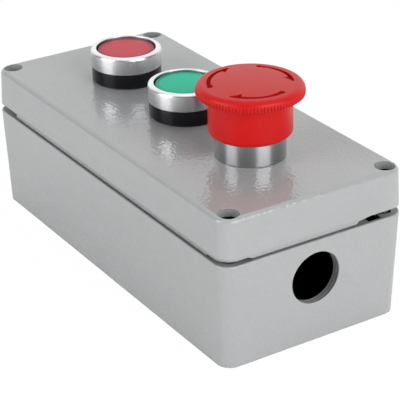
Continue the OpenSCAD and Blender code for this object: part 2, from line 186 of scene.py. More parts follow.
# Rounds the corners of a closed path of (x, y)
def filletPath(points, radii, steps=8):
    out = []
    count = len(points)
    for i, r in enumerate(radii):
        corner = Vector(points[i])
        u = (Vector(points[i - 1]) - corner).normalized()
        v = (Vector(points[(i + 1) % count]) - corner).normalized()
        half = math.acos(max(-1, min(1, u.dot(v)))) / 2
        centre = corner + (u + v).normalized() * (r / math.sin(half))
        first = corner + u * (r / math.tan(half)) - centre
        last = corner + v * (r / math.tan(half)) - centre
        start = math.atan2(first.y, first.x)
        sweep = (math.atan2(last.y, last.x) - start + math.pi) % (2 * math.pi) - math.pi
        for k in range(steps + 1):
            a = start + sweep * k / steps
            out.append((centre.x + r * math.cos(a), centre.y + r * math.sin(a)))
    return out


# Outline of the sealed space; it steps in round the screw corners
def innerOutline(grow):
    x, y = halfX - wall + grow, halfY - wall + grow
    stepX = halfX - station["stepIn"] + grow
    longY = halfY - station["stepLong"] + grow
    shortY = halfY - station["stepShort"] + grow
    half = [(x, -shortY), (x, longY), (stepX, longY), (stepX, y), (-stepX, y), (-stepX, shortY)]
    points = half + [(-px, -py) for px, py in half]
    convex, concave = station["convex"] + grow / 2, station["concave"] - grow / 2
    return filletPath(points, [convex, convex, concave] * 4)


# Wall along that outline, between two offsets from it
def outlineRing(name, inner, outer, low, high):
    corners = ((inner, low), (inner, high), (outer, high), (outer, low))
    loops = [[(x, y, z) for x, y in innerOutline(grow)] for grow, z in corners]
    return finishMesh(name, *bridgeLoops(loops, ring=True))


# Rounded block through slices of (height, inset from the box's outline)
def castingLoops(slices, corner):
    loops = []
    for z, inset in slices:
        r = corner - min(inset * 0.3, corner / 2)
        loops.append(roundedRect(halfX - inset, halfY - inset, r, z))
    return loops


# Depth of a point inside the box's rounded outline
def depthInside(x, y):
    r = station["corner"]
    qx, qy = abs(x) - halfX + r, abs(y) - halfY + r
    return r - math.hypot(max(qx, 0), max(qy, 0)) - min(max(qx, qy), 0)


def screwDistance(point):
    return min(math.hypot(point.x - x, point.y - y) for x, y in screwPlaces)


def block(name, low, high):
    (x0, x1), (y0, y1), (z0, z1) = (sorted(pair) for pair in zip(low, high))
    loops = [[(x0, y0, z), (x1, y0, z), (x1, y1, z), (x0, y1, z)] for z in (z0, z1)]
    return finishMesh(name, *bridgeLoops(loops))


# Plain round cutter or boss
def peg(name, r, low, high, centreX=0.0, segments=48):
    return lathe(name, [(0, low), (r, low), (r, high), (0, high)], centreX, segments)


def moveTo(obj, x, y, z=0.0):
    obj.data.transform(Matrix.Translation((x * mm, y * mm, z * mm)))
    return obj


def boolean(obj, cutters, operation="DIFFERENCE"):
    for cutter in cutters:
        mod = obj.modifiers.new("cut", "BOOLEAN")
        mod.operation = operation
        mod.solver = "EXACT"
        mod.object = cutter
        bpy.context.view_layer.update()
        evaluated = obj.evaluated_get(bpy.context.evaluated_depsgraph_get())
        mesh = bpy.data.meshes.new_from_object(evaluated)
        obj.modifiers.remove(mod)
        old = obj.data
        obj.data = mesh
        bpy.data.meshes.remove(old)
        bpy.data.objects.remove(cutter)


def crisp(obj):
    shadeSmooth(obj.data, creaseAngle)
    weighted = obj.modifiers.new("weighted", "WEIGHTED_NORMAL")
    weighted.keep_sharp = True
    weighted.weight = 80


def place(obj, body, slotName, *nodes):
    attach(obj, body)
    if nodes:
        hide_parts(*nodes)


# Shader helpers
def link(tree, a, b):
    tree.links.new(a, b)


# A number or a colour is set on the socket itself, and anything else is linked to it
def feed(tree, value, socket):
    if isinstance(value, tuple):
        socket.default_value = (*value, 1.0)
    elif isinstance(value, (int, float)):
        socket.default_value = value
    else:
        link(tree, value, socket)


def addNode(tree, kind, **values):
    item = tree.nodes.new(kind)
    for key, value in values.items():
        if hasattr(item, key):
            setattr(item, key, value)
        else:
            item.inputs[key].default_value = value
    return item


def startGroup(name, inputs, outputs):
    group = bpy.data.node_groups.new(name, "ShaderNodeTree")
    for label, value in inputs:
        socket = group.interface.new_socket(name=label, in_out="INPUT", socket_type="NodeSocketFloat")
        socket.default_value = value
    for label in outputs:
        group.interface.new_socket(name=label, in_out="OUTPUT", socket_type="NodeSocketFloat")
    return group, group.nodes.new("NodeGroupInput"), group.nodes.new("NodeGroupOutput")


# Position on the piece at rest in millimetres, so that the pattern rides with it
def objectCoords(tree):
    coords = tree.nodes.new("ShaderNodeTexCoord")
    inMm = addNode(tree, "ShaderNodeVectorMath", operation="SCALE", Scale=1 / mm)
    link(tree, coords.outputs["Object"], inMm.inputs[0])
    return inMm.outputs[0]


def mathNode(tree, operation, a, b=None, clamp=False):
    item = addNode(tree, "ShaderNodeMath", operation=operation, use_clamp=clamp)
    feed(tree, a, item.inputs[0])
    if b is not None:
        feed(tree, b, item.inputs[1])
    return item.outputs[0]


def noiseOn(tree, where, scale, detail=3.0, roughness=0.5, distortion=0.0):
    item = addNode(tree, "ShaderNodeTexNoise", Detail=detail, Roughness=roughness, Distortion=distortion)
    link(tree, where, item.inputs["Vector"])
    feed(tree, scale, item.inputs["Scale"])
    return item.outputs["Fac"]


def remap(tree, value, low, high, toLow=0.0, toHigh=1.0):
    ends = {"From Min": low, "From Max": high, "To Min": toLow, "To Max": toHigh}
    item = addNode(tree, "ShaderNodeMapRange", **ends)
    link(tree, value, item.inputs["Value"])
    return item.outputs[0]


def useGroup(tree, group, **values):
    item = tree.nodes.new("ShaderNodeGroup")
    item.node_tree = group
    for key, value in values.items():
        item.inputs[key].default_value = value
    return item


# Height of sprayed hammer paint: round cells with raised rims and slow waves
def makeHammerPaint():
    group, start, end = startGroup("hammerPaint", [("Cell Size", 1.3), ("Wave", 0.6)], ["Height", "Tone"])
    where = objectCoords(group)
    warp = addNode(group, "ShaderNodeTexNoise", Scale=0.6, Detail=2.0)
    link(group, where, warp.inputs["Vector"])
    shift = addNode(group, "ShaderNodeVectorMath", operation="ADD")
    link(group, where, shift.inputs[0])
    link(group, warp.outputs["Color"], shift.inputs[1])
    density = mathNode(group, "DIVIDE", 1.0, start.outputs["Cell Size"])
    cells = addNode(group, "ShaderNodeTexVoronoi", feature="SMOOTH_F1", Smoothness=0.35)
    link(group, shift.outputs[0], cells.inputs["Vector"])
    link(group, density, cells.inputs["Scale"])
    bowls = mathNode(group, "POWER", cells.outputs["Distance"], 1.6)
    wave = noiseOn(group, where, 0.16, 3.0, 0.45)
    waves = mathNode(group, "MULTIPLY", wave, start.outputs["Wave"])
    link(group, mathNode(group, "ADD", bowls, waves), end.inputs["Height"])
    link(group, wave, end.inputs["Tone"])
    return group


# Mask of worn edges, broken up by noise
def makeEdgeRub():
    group, start, end = startGroup("edgeRub", [("Amount", 0.5), ("Break Up", 1.5)], ["Mask"])
    geometry = group.nodes.new("ShaderNodeNewGeometry")
    broken = noiseOn(group, objectCoords(group), 0.8, 4.0, 0.65)
    edge = mathNode(group, "SUBTRACT", geometry.outputs["Pointiness"], 0.508)
    edge = mathNode(group, "MULTIPLY", edge, 18.0, clamp=True)
    rub = mathNode(group, "MULTIPLY", edge, mathNode(group, "POWER", broken, start.outputs["Break Up"]))
    link(group, mathNode(group, "MULTIPLY", rub, start.outputs["Amount"], clamp=True), end.inputs["Mask"])
    return group


# Masks of faint smears and of fine dust
def makeHandling():
    group, start, end = startGroup("handling", [("Smear", 0.5), ("Dust", 0.3)], ["Smear Mask", "Dust Mask"])
    where = objectCoords(group)
    smear = remap(group, noiseOn(group, where, 0.05, 5.0, 0.6, 0.8), 0.42, 0.66)
    dust = remap(group, noiseOn(group, where, 1.9, 6.0, 0.75), 0.55, 0.75)
    link(group, mathNode(group, "MULTIPLY", smear, start.outputs["Smear"]), end.inputs["Smear Mask"])
    link(group, mathNode(group, "MULTIPLY", dust, start.outputs["Dust"]), end.inputs["Dust Mask"])
    return group


# Fine eroded grain of moulded plastic with a trace of flow marks
def makeMouldGrain():
    group, start, end = startGroup("mouldGrain", [("Grain Size", 0.25), ("Flow", 0.3)], ["Height", "Tone"])
    where = objectCoords(group)
    density = mathNode(group, "DIVIDE", 1.0, start.outputs["Grain Size"])
    grain = noiseOn(group, where, density, 2.0)
    flow = noiseOn(group, where, 0.09, 3.0, 0.5, 1.5)
    flows = mathNode(group, "MULTIPLY", flow, start.outputs["Flow"])
    link(group, mathNode(group, "ADD", grain, flows), end.inputs["Height"])
    link(group, flow, end.inputs["Tone"])
    return group


# Distance from a vertical axis at X Centre, height and angle about it
def makeAxisDistance():
    group, start, end = startGroup("axisDistance", [("X Centre", 0.0)], ["Radius", "Height", "Angle"])
    split = group.nodes.new("ShaderNodeSeparateXYZ")
    link(group, objectCoords(group), split.inputs[0])
    x = mathNode(group, "SUBTRACT", split.outputs["X"], start.outputs["X Centre"])
    xx = mathNode(group, "MULTIPLY", x, x)
    yy = mathNode(group, "MULTIPLY", split.outputs["Y"], split.outputs["Y"])
    link(group, mathNode(group, "SQRT", mathNode(group, "ADD", xx, yy)), end.inputs["Radius"])
    link(group, split.outputs["Z"], end.inputs["Height"])
    link(group, mathNode(group, "ARCTAN2", split.outputs["Y"], x), end.inputs["Angle"])
    return group


# Painted shade above the lid's lower edge, darker towards the seam and most of it on the long sides
def makePaintedSeamShade():
    group, start, end = startGroup("seamGrime", [("Edge Height", 0.0), ("Reach", 3.0), ("Side", 40.0)],
                                   ["Mask"])
    split = group.nodes.new("ShaderNodeSeparateXYZ")
    link(group, objectCoords(group), split.inputs[0])
    above = mathNode(group, "SUBTRACT", split.outputs["Z"], start.outputs["Edge Height"])
    away = mathNode(group, "DIVIDE", above, start.outputs["Reach"])
    fade = mathNode(group, "SUBTRACT", 1.0, away, clamp=True)
    onLid = mathNode(group, "GREATER_THAN", above, -0.2)
    across = mathNode(group, "ABSOLUTE", split.outputs["Y"])
    inward = mathNode(group, "SUBTRACT", start.outputs["Side"], across)
    share = mathNode(group, "MULTIPLY", onLid, remap(group, inward, 1.5, 6.0, 1.0, 0.25))
    link(group, mathNode(group, "MULTIPLY", fade, share), end.inputs["Mask"])
    return group


# Rings of a turned part about a vertical axis at X Centre
def makeTurning():
    group, start, end = startGroup("turningMarks", [("X Centre", 0.0), ("Ring Pitch", 0.12), ("Waver", 0.4)],
                                   ["Height", "Streak"])
    axis = useGroup(group, axisDistance)
    link(group, start.outputs["X Centre"], axis.inputs["X Centre"])
    along = mathNode(group, "ADD", axis.outputs["Radius"], axis.outputs["Height"])
    join = group.nodes.new("ShaderNodeCombineXYZ")
    link(group, mathNode(group, "DIVIDE", along, start.outputs["Ring Pitch"]), join.inputs["X"])
    around = mathNode(group, "MULTIPLY", axis.outputs["Angle"], start.outputs["Waver"])
    link(group, around, join.inputs["Y"])
    link(group, noiseOn(group, join.outputs[0], 1.0, 3.0, 0.7), end.inputs["Height"])
    link(group, noiseOn(group, join.outputs[0], 0.3, 2.0, 0.6), end.inputs["Streak"])
    return group


hammerPaint = makeHammerPaint()
edgeRub = makeEdgeRub()
handling = makeHandling()
mouldGrain = makeMouldGrain()
axisDistance = makeAxisDistance()
turningMarks = makeTurning()
seamGrime = makePaintedSeamShade()
print("shader groups made")


def startMaterial(name, **sockets):
    material = bpy.data.materials.new(name)
    material.use_nodes = True
    tree = material.node_tree
    shader = tree.nodes["Principled BSDF"]
    for key, value in sockets.items():
        shader.inputs[key].default_value = value
    return material, tree, shader


def mixColour(tree, factor, a, b):
    item = addNode(tree, "ShaderNodeMix", data_type="RGBA")
    for index, value in ((0, factor), (6, a), (7, b)):  # the Mix node has its colours there
        feed(tree, value, item.inputs[index])
    return item.outputs[2]


def scaled(colour, factor, lift=0.0):
    return tuple(min(1.0, c * factor + lift) for c in colour)


def bumpInto(tree, shader, height, strength, distance):
    item = addNode(tree, "ShaderNodeBump", Strength=strength, Distance=distance * mm)
    link(tree, height, item.inputs["Height"])
    link(tree, item.outputs[0], shader.inputs["Normal"])


def spreadRoughness(tree, shader, source, low, high):
    link(tree, remap(tree, source, 0.0, 1.0, low, high), shader.inputs["Roughness"])


def paintMaterial(name, look):
    material, tree, shader = startMaterial(name, IOR=1.5)
    peel = useGroup(tree, hammerPaint, **{"Cell Size": look["cell"], "Wave": look["wave"]})
    touch = useGroup(tree, handling, Smear=0.5, Dust=0.3)
    rub = useGroup(tree, edgeRub, **{"Amount": 0.25, "Break Up": 2.0})
    colour = mixColour(tree, peel.outputs["Tone"], look["colour"], look["shade"])
    colour = mixColour(tree, touch.outputs["Smear Mask"], colour, look["shade"])
    colour = mixColour(tree, rub.outputs["Mask"], colour, look["metal"])
    # Painted shade: the paint turns towards the dark colour just above the lid's lower edge
    seam = {"Edge Height": lidEdge + look["grimeFrom"], "Reach": look["grimeReach"], "Side": halfY}
    grime = mathNode(tree, "MULTIPLY", useGroup(tree, seamGrime, **seam).outputs["Mask"], look["grime"])
    colour = mixColour(tree, grime, colour, look["dark"])
    link(tree, colour, shader.inputs["Base Color"])
    spreadRoughness(tree, shader, touch.outputs["Dust Mask"], *look["rough"])
    bumpInto(tree, shader, peel.outputs["Height"], look["bump"], look["relief"])
    return material


def plasticMaterial(name, look, centreX=0.0):
    material, tree, shader = startMaterial(name, IOR=1.49)
    shader.inputs["Specular IOR Level"].default_value = look.get("gloss", 0.5)
    mould = useGroup(tree, mouldGrain, **{"Grain Size": look.get("grain", 0.25), "Flow": 0.3})
    touch = useGroup(tree, handling, Smear=0.4, Dust=0.3)
    tone = mixColour(tree, mould.outputs["Tone"], look["colour"], scaled(look["colour"], 0.88))
    dusty = scaled(look["colour"], 0.85, look.get("lift", 0.03))
    tone = mixColour(tree, touch.outputs["Dust Mask"], tone, dusty)
    # Painted shade round the cap's rim: the tone turns to the edge colour towards the rim
    if "edge" in look:
        away = useGroup(tree, axisDistance, **{"X Centre": centreX})
        capEdge = radiusOf("red_cap")
        edgeShadeMask = remap(tree, away.outputs["Radius"], capEdge - look["edgeWidth"], capEdge, 0.0, 0.8)
        tone = mixColour(tree, edgeShadeMask, tone, look["edge"])
    link(tree, tone, shader.inputs["Base Color"])
    spreadRoughness(tree, shader, touch.outputs["Smear Mask"], *look["rough"])
    bumpInto(tree, shader, mould.outputs["Height"], look.get("bump", 0.2), 0.02)
    return material


def turnedMaterial(name, look, centreX):
    material, tree, shader = startMaterial(name, Metallic=1.0, Anisotropic=look["stretch"])
    shader.inputs["Anisotropic Rotation"].default_value = 0.25
    marks = useGroup(tree, turningMarks, **{"X Centre": centreX, "Ring Pitch": look["pitch"], "Waver": 0.4})
    touch = useGroup(tree, handling, Smear=0.5, Dust=0.2)
    tone = mixColour(tree, marks.outputs["Streak"], look["colour"], scaled(look["colour"], look["streak"]))
    tone = mixColour(tree, touch.outputs["Smear Mask"], tone, scaled(look["colour"], 0.9))
    link(tree, tone, shader.inputs["Base Color"])
    spreadRoughness(tree, shader, marks.outputs["Streak"], *look["rough"])
    bumpInto(tree, shader, marks.outputs["Height"], look["bump"], 0.02)
    return material


def metalMaterial(name, look):
    material, tree, shader = startMaterial(name, Metallic=1.0)
    mould = useGroup(tree, mouldGrain, **{"Grain Size": 0.18, "Flow": 0.5})
    touch = useGroup(tree, handling, Smear=0.6, Dust=0.3)
    tone = mixColour(tree, touch.outputs["Smear Mask"], look["colour"], scaled(look["colour"], 0.8))
    link(tree, tone, shader.inputs["Base Color"])
    spreadRoughness(tree, shader, mould.outputs["Tone"], *look["rough"])
    bumpInto(tree, shader, mould.outputs["Height"], 0.2, 0.02)
    return material


# Finishes, all colours linear
# paintLook's dark colour and its seam keys set the painted shade above the lid's seam
paintLook = {"colour": (0.288, 0.295, 0.297), "shade": (0.274, 0.281, 0.283), "metal": (0.45, 0.46, 0.47),
             "cell": 1.3, "wave": 0.1, "bump": 0.8, "relief": 0.105, "rough": (0.03, 0.06),
             "dark": (0.02, 0.021, 0.022), "grime": 0.95, "grimeFrom": 0.3, "grimeReach": 2.6}
# Casting tone for the rim and ledges, darker than the paint; it also paints the shade in the seam
castAndShadeLook = {"colour": (0.24, 0.243, 0.246), "rough": (0.5, 0.7), "grain": 0.5, "bump": 0.5, "gloss": 0.3}
# The gland hole's wall, darker still: painted shade in the hole
boreShadeLook = {**castAndShadeLook, "colour": (0.17, 0.173, 0.177)}
# Near black laid on inner faces and deep hollows: painted shade
shadowBlackLook = {"colour": (0.008, 0.008, 0.009), "rough": (0.6, 0.75), "gloss": 0.05, "lift": 0.001}
rubberLook = {"colour": (0.02, 0.02, 0.022), "rough": (0.5, 0.7), "grain": 0.35, "bump": 0.4}
ringLook = {"colour": (0.006, 0.006, 0.008), "rough": (0.2, 0.3), "grain": 0.3, "bump": 0.12, "lift": 0.003,
            "gloss": 0.3}
mushroomLook = {"colour": (0.46, 0.005, 0.005), "rough": (0.36, 0.46), "grain": 0.3, "bump": 0.25,
                "gloss": 0.18, "lift": 0.004}
# Darker red in the arrow grooves is painted shade
arrowShadeLook = {"colour": (0.33, 0.003, 0.003), "rough": (0.6, 0.7), "grain": 0.3, "bump": 0.25,
              "gloss": 0.02, "lift": 0.001}
capLook = {"rough": (0.3, 0.4), "grain": 0.4, "bump": 0.1, "gloss": 0.06, "lift": 0.005, "edgeWidth": 3.2}
# A cap's edge colour is the painted shade at its rim
redCapLook = {**capLook, "colour": (0.49, 0.05, 0.066), "edge": (0.2, 0.085, 0.098)}
greenCapLook = {**capLook, "colour": (0.013, 0.47, 0.285), "edge": (0.05, 0.3, 0.22)}
ivoryLook = {"colour": (0.62, 0.57, 0.46), "rough": (0.4, 0.55)}
nylonLook = {"colour": (0.05, 0.054, 0.058), "rough": (0.4, 0.55)}
bezelLook = {"colour": (0.7, 0.7, 0.715), "rough": (0.3, 0.37), "pitch": 0.35, "streak": 0.85,
             "bump": 0.2, "stretch": 0.6}
collarLook = {"colour": (0.46, 0.465, 0.48), "rough": (0.26, 0.34), "pitch": 0.3, "streak": 0.85,
              "bump": 0.2, "stretch": 0.8}
zincLook = {"colour": (0.6, 0.61, 0.63), "rough": (0.25, 0.4)}
springLook = {"colour": (0.5, 0.5, 0.52), "rough": (0.25, 0.35)}
brassLook = {"colour": (0.65, 0.48, 0.2), "rough": (0.28, 0.4)}
copperLook = {"colour": (0.7, 0.38, 0.25), "rough": (0.3, 0.4)}

finishes = {
    "paint": paintMaterial("greyHammerPaint", paintLook),
    "casting": plasticMaterial("primedCasting", castAndShadeLook),
    "bore": plasticMaterial("tappedBore", boreShadeLook),
    "pit": plasticMaterial("darkPit", shadowBlackLook),
    "rubber": plasticMaterial("sealRubber", rubberLook),
    "black": plasticMaterial("blackRing", ringLook),
    "mushroom": plasticMaterial("stopRed", mushroomLook),
    "groove": plasticMaterial("arrowGroove", arrowShadeLook),
    "redCap": plasticMaterial("capRed", redCapLook, buttonPlaces["red"]),
    "greenCap": plasticMaterial("capGreen", greenCapLook, buttonPlaces["green"]),
    "ivory": plasticMaterial("ivoryNylon", ivoryLook),
    "nylon": plasticMaterial("greyNylon", nylonLook),
    "redBezel": turnedMaterial("satinBezelRed", bezelLook, buttonPlaces["red"]),
    "greenBezel": turnedMaterial("satinBezelGreen", bezelLook, buttonPlaces["green"]),
    "collar": turnedMaterial("turnedCollar", collarLook, stopX),
    "zinc": metalMaterial("zincPlate", zincLook),
    "spring": metalMaterial("springWire", springLook),
    "brass": metalMaterial("brassParts", brassLook),
    "copper": metalMaterial("contactCopper", copperLook),
}
print("materials made:", len(finishes))


# choose(centre, normal) names the finish of a face; without it the whole piece has the one finish
def dress(obj, *names, choose=None):
    obj.data.materials.clear()
    for name in names:
        obj.data.materials.append(finishes[name])
    for face in obj.data.polygons:
        picked = choose(face.center / mm, face.normal) if choose else names[0]
        face.material_index = names.index(picked)


# Base casting
base = {
    "slope": math.tan(math.radians(1.8)),
    "floor": 4.0,
    "rimRound": 0.55,
    "footEdge": 0.3,
    "ledge": 1.0,  # step round the rim, inside
    "ledgeRound": 4.0,
    "tongue": 1.6,
    "tongueHeight": 2.2,
    "tongueRoot": 3.0,
    "bossRadius": 4.0,
    "bossDepth": 5.0,
    "wellRadius": 4.5,
    "wellFloor": 5.0,
    "wellTop": 3.0,
    "mouthDepth": 6.0,
    "wallHole": 2.75,
    "wellMouth": ((77.5, 24.0), (86.2, 29.6)),
    "pocket": 2.9,  # round each lid screw
    "pocketDepth": 1.2,
    "gland": 10.25,
    "glandLip": 0.3,
    "glandWall": 3.5,
    "spotFace": 13.6,
    "threads": 2,
    "threadStart": 0.4,
    "threadDepth": 0.45,
    "pitch": 1.4,
    "glandHeight": 26.5,
    "earthPost": (64.0, -24.0),
    "postRadius": 4.2,
    "postTop": 9.0,
    "ribs": (-66.0, -22.5, 22.5),
    "ribTop": 6.2,
}


def baseInset(z):
    return (rim - z) * base["slope"]


def glandCutter():
    r, z, lip, pitch = base["gland"], base["glandHeight"], base["glandLip"], base["pitch"]
    outside = halfX - baseInset(z)
    inside = outside - wall - 2
    face = outside - base["glandWall"]
    profile = [(0, inside), (base["spotFace"], inside), (base["spotFace"], face), (r, face)]
    for i in range(base["threads"]):
        start = face + base["threadStart"] + i * pitch
        profile += [(r, start), (r + base["threadDepth"], start + pitch * 0.35), (r, start + pitch * 0.7)]
    profile += [(r, outside - lip), (r + lip * 0.3, outside - lip * 0.4), (r + lip, outside + 0.05)]
    profile += [(r + lip, outside + over), (0, outside + over)]
    cutter = lathe("glandCut", profile, 0.0, 128)
    cutter.data.transform(Matrix.Rotation(math.radians(90), 4, "Y"))
    return moveTo(cutter, 0, 0, z)


def makeBase():
    edge, r = base["footEdge"], base["rimRound"]
    low = [(0, baseInset(0) + edge), (edge, baseInset(edge))]
    high = [(z, inset + 0.02) for inset, z in arc(r, rim - r, r, 180, 90, 6)]
    shell = finishMesh("baseShell", *bridgeLoops(castingLoops(low + high, station["corner"])))
    foot = baseInset(base["floor"])
    inner = innerOutline(0)
    lowInner = [(x * (1 - foot / halfX), y * (1 - foot / halfY), base["floor"]) for x, y in inner]
    space = finishMesh("space", *bridgeLoops([lowInner, [(x, y, rim + over) for x, y in inner]]))
    recess = finishMesh("recess", *bridgeLoops([
        roundedRect(halfX - wall, halfY - wall, base["ledgeRound"], z)
        for z in (rim - base["ledge"], rim + over)]))
    cutters = [recess, space]
    wellX, wellY = halfX - station["wellInset"][0], halfY - station["wellInset"][1]
    wellTop, mouthLow = rim - base["wellTop"], rim - base["mouthDepth"]
    for s in (-1, 1):
        well = peg("well", base["wellRadius"], base["wellFloor"], wellTop)
        wallHole = peg("wallHole", base["wallHole"], -1.0, wellTop)
        cutters += [moveTo(cutter, s * wellX, s * wellY) for cutter in (well, wallHole)]
        (x0, y0), (x1, y1) = base["wellMouth"]
        cutters.append(block("wellMouth", (s * x0, s * y0, mouthLow), (s * x1, s * y1, rim + over)))
    pocketFloor = rim - base["pocketDepth"]
    for x, y in screwPlaces:
        cutters.append(moveTo(peg("pocket", base["pocket"], pocketFloor, rim + over), x, y))
    boolean(shell, cutters)
    tongueLow, tongueHigh = rim - base["tongueRoot"], rim + base["tongueHeight"]
    boolean(shell, [outlineRing("tongue", 0, base["tongue"], tongueLow, tongueHigh)], "UNION")
    bosses = []
    for x, y in screwPlaces:
        boss = peg("boss", base["bossRadius"], rim - base["bossDepth"], pocketFloor + 0.15)
        bosses.append(moveTo(boss, x, y))
    sunk, ribY = base["floor"] - 1, halfY - wall + 0.5
    bosses.append(moveTo(peg("earthPost", base["postRadius"], sunk, base["postTop"]), *base["earthPost"]))
    for x in base["ribs"]:
        bosses.append(block("rib", (x - 1, -ribY, sunk), (x + 1, ribY, base["ribTop"])))
    boolean(shell, bosses, "UNION")
    boolean(shell, [glandCutter()])
    crisp(shell)

    # Near black on inner faces, the tongue and the bosses is painted shade of the closed box; the rim and
    # ledges take the darker casting tone, and the gland hole's wall the darker bore tone, both painted shade
    # as well
    def choose(centre, normal):
        depth = depthInside(centre.x, centre.y) - baseInset(centre.z)
        bore = math.hypot(centre.y, centre.z - base["glandHeight"]) < base["gland"] + 0.6
        if bore and 0.2 < depth < base["glandWall"] + 0.1:
            return "bore"
        if abs(centre.z - rim) < 0.05:
            return "casting"
        if centre.z > rim:
            return "pit"
        onLedge = normal.z > 0.9 and centre.z > rim - base["ledge"] - 0.05
        if onLedge and screwDistance(centre) > base["pocket"]:
            return "casting"
        return "pit" if depth > 1.3 and centre.z > 0.5 else "paint"

    dress(shell, "paint", "casting", "pit", "bore", choose=choose)
    place(shell, "root", "grey_paint", "base_housing")


# Lid casting
lid = {
    "slope": math.tan(math.radians(2.1)),
    "topRound": 1.8,
    "lowRound": 1.4,
    "plate": 3.2,
    "rib": 2.1,
    "recess": 3.85,
    "recessDepth": 7.4,
    "recessLip": 0.2,
    # depth below the top where the painted shade in the screw recesses begins
    "paintDepth": 3.1,
    "panelHole": 11.15,
    "relief": 2.4,  # notches in the lower edge, and below where they start
    "shortRelief": 1.55,
    "longGap": 0.35,
    "ramp": 3.0,
    "reliefIn": 10.5,
    "reliefSide": 18.5,
    "reliefEnd": 22.4,
    "skirt": 1.9,
    "grooveDepth": 4.2,
    "grooveSpan": (-0.5, 2.1),
}


def makeLid():
    slope, tall = lid["slope"], lidTop - lidEdge
    lowR, topR = lid["lowRound"], lid["topRound"]
    low = [(z, inset + lowR * slope) for inset, z in arc(lowR, lidEdge + lowR, lowR, 270, 180, 6)]
    high = [(z, inset + (tall - topR) * slope) for inset, z in arc(topR, lidTop - topR, topR, 180, 90, 9)]
    shell = finishMesh("lidShell", *bridgeLoops(castingLoops(low + high, station["corner"])))
    foot, top, inX = lidEdge - 1, lidEdge + lid["relief"], halfX - lid["reliefIn"]
    under = lidTop - lid["plate"]
    inner = innerOutline(-lid["rib"])
    upper = [(x * 0.99, y * 0.98, under) for x, y in inner]
    cutters = [finishMesh("lidSpace", *bridgeLoops([[(x, y, foot) for x, y in inner], upper]))]
    cutters.append(outlineRing("groove", *lid["grooveSpan"], foot, lidEdge + lid["grooveDepth"]))
    longY, shortY, out = halfY - lid["reliefEnd"], lid["reliefIn"] - halfY, halfY + 1
    longNotch = [(longY, foot), (out, foot), (out, top), (longY + 6, top), (longY + 0.6, top - 0.8),
                 (longY, lidEdge + 0.3)]
    ramp, shortTop = shortY + lid["ramp"], lidEdge + lid["shortRelief"]
    shortNotch = [(-out, foot), (ramp, foot), (ramp, lidEdge), (shortY, shortTop), (-out, shortTop)]
    for s in (-1, 1):
        for path in (longNotch, shortNotch):
            ends = [[(s * x, s * y, z) for y, z in path] for x in (inX, halfX + 1)]
            cutters.append(finishMesh("notch", *bridgeLoops(ends)))
        side = (s * (halfX - lid["reliefSide"]), s * (halfY - lid["skirt"]), foot)
        cutters.append(block("sideRelief", side, (s * (halfX + 1), s * out, top)))
        gap = (-inX - 2, s * (halfY - 2.5), foot)
        cutters.append(block("longGap", gap, (inX + 2, s * out, lidEdge + lid["longGap"])))
    r, lip = lid["recess"], lid["recessLip"]
    floor = lidTop - lid["recessDepth"]
    profile = [(0, floor), (r - 0.3, floor), (r, floor + 0.3), (r, lidTop - lid["paintDepth"])]
    profile += arc(r + lip, lidTop - lip, lip, 180, 90, 6) + [(r + lip, lidTop + 2), (0, lidTop + 2)]
    for x, y in screwPlaces:
        cutters.append(moveTo(lathe("recess", profile, 0.0, 64), x, y))
    for x in buttonPlaces.values():
        cutters.append(peg("panelHole", lid["panelHole"], under - 1, lidTop + 1, x, 96))
    boolean(shell, cutters)
    crisp(shell)

    # Near black on the recess walls deep below the top, on the underside and on the inner faces is painted
    # shade
    def choose(centre, normal):
        nearScrew = screwDistance(centre)
        if nearScrew < r + 0.1 and centre.z < lidTop - lid["paintDepth"]:
            return "pit"
        if nearScrew < r + 0.6 and centre.z < lidTop - 0.6:
            return "paint"
        depth = depthInside(centre.x, centre.y)
        if centre.z < lidTop - 0.1 and (depth > 2.6 or (normal.z < -0.7 and depth > 1.35)):
            return "pit"
        return "paint"

    dress(shell, "paint", "pit", choose=choose)
    place(shell, "root", "grey_paint", "lid")


# Lid screws, deep in their recesses
screw = {"head": 3.4, "height": 2.6, "shank": 1.95, "slotWidth": 0.95, "slotDepth": 1.5,
         "turns": (18, 41, 64, 87)}


def makeScrews():
    seat, h, r = lidTop - lid["recessDepth"], screw["height"], screw["head"]
    foot, shank = lowOf("lid_screws"), screw["shank"]
    for index, (x, y) in enumerate(screwPlaces):
        profile = [(0, foot), (shank, foot), (shank, seat), (r - 0.2, seat), (r, seat + 0.2)]
        profile.append((r, seat + h * 0.55))
        for a in (20, 40, 60, 80):
            profile.append((r * (0.62 + 0.38 * math.cos(math.radians(a))),
                            seat + h * (0.55 + 0.45 * math.sin(math.radians(a)))))
        profile += [(r * 0.3, seat + h), (0, seat + h)]
        head = lathe(f"lidScrew{index + 1}", profile, 0.0, 64)
        cuts = []
        for turn in (0, 90):
            w, d = screw["slotWidth"] / 2, screw["slotDepth"]
            cut = block("slot", (-r * 0.66, -w, seat + h - d), (r * 0.66, w, seat + h + 1))
            cut.data.transform(Matrix.Rotation(math.radians(turn + screw["turns"][index]), 4, "Z"))
            cuts.append(cut)
        boolean(head, cuts)
        moveTo(head, x, y)
        crisp(head)
        dress(head, "zinc")
        place(head, "root", "plated_steel", "lid_screws")


# Flush buttons: black body ring, satin bezel, cap
flush = {
    "spigot": 13.15,
    "gap": 0.45,
    "slack": 0.2,
    "thread": 10.9,
    "bore": 9.2,
    "stem": 5.06,
    "floor": 1.6,
    "crest": 0.7,
    "shoulder": 1.1,
    "dish": 0.3,
}


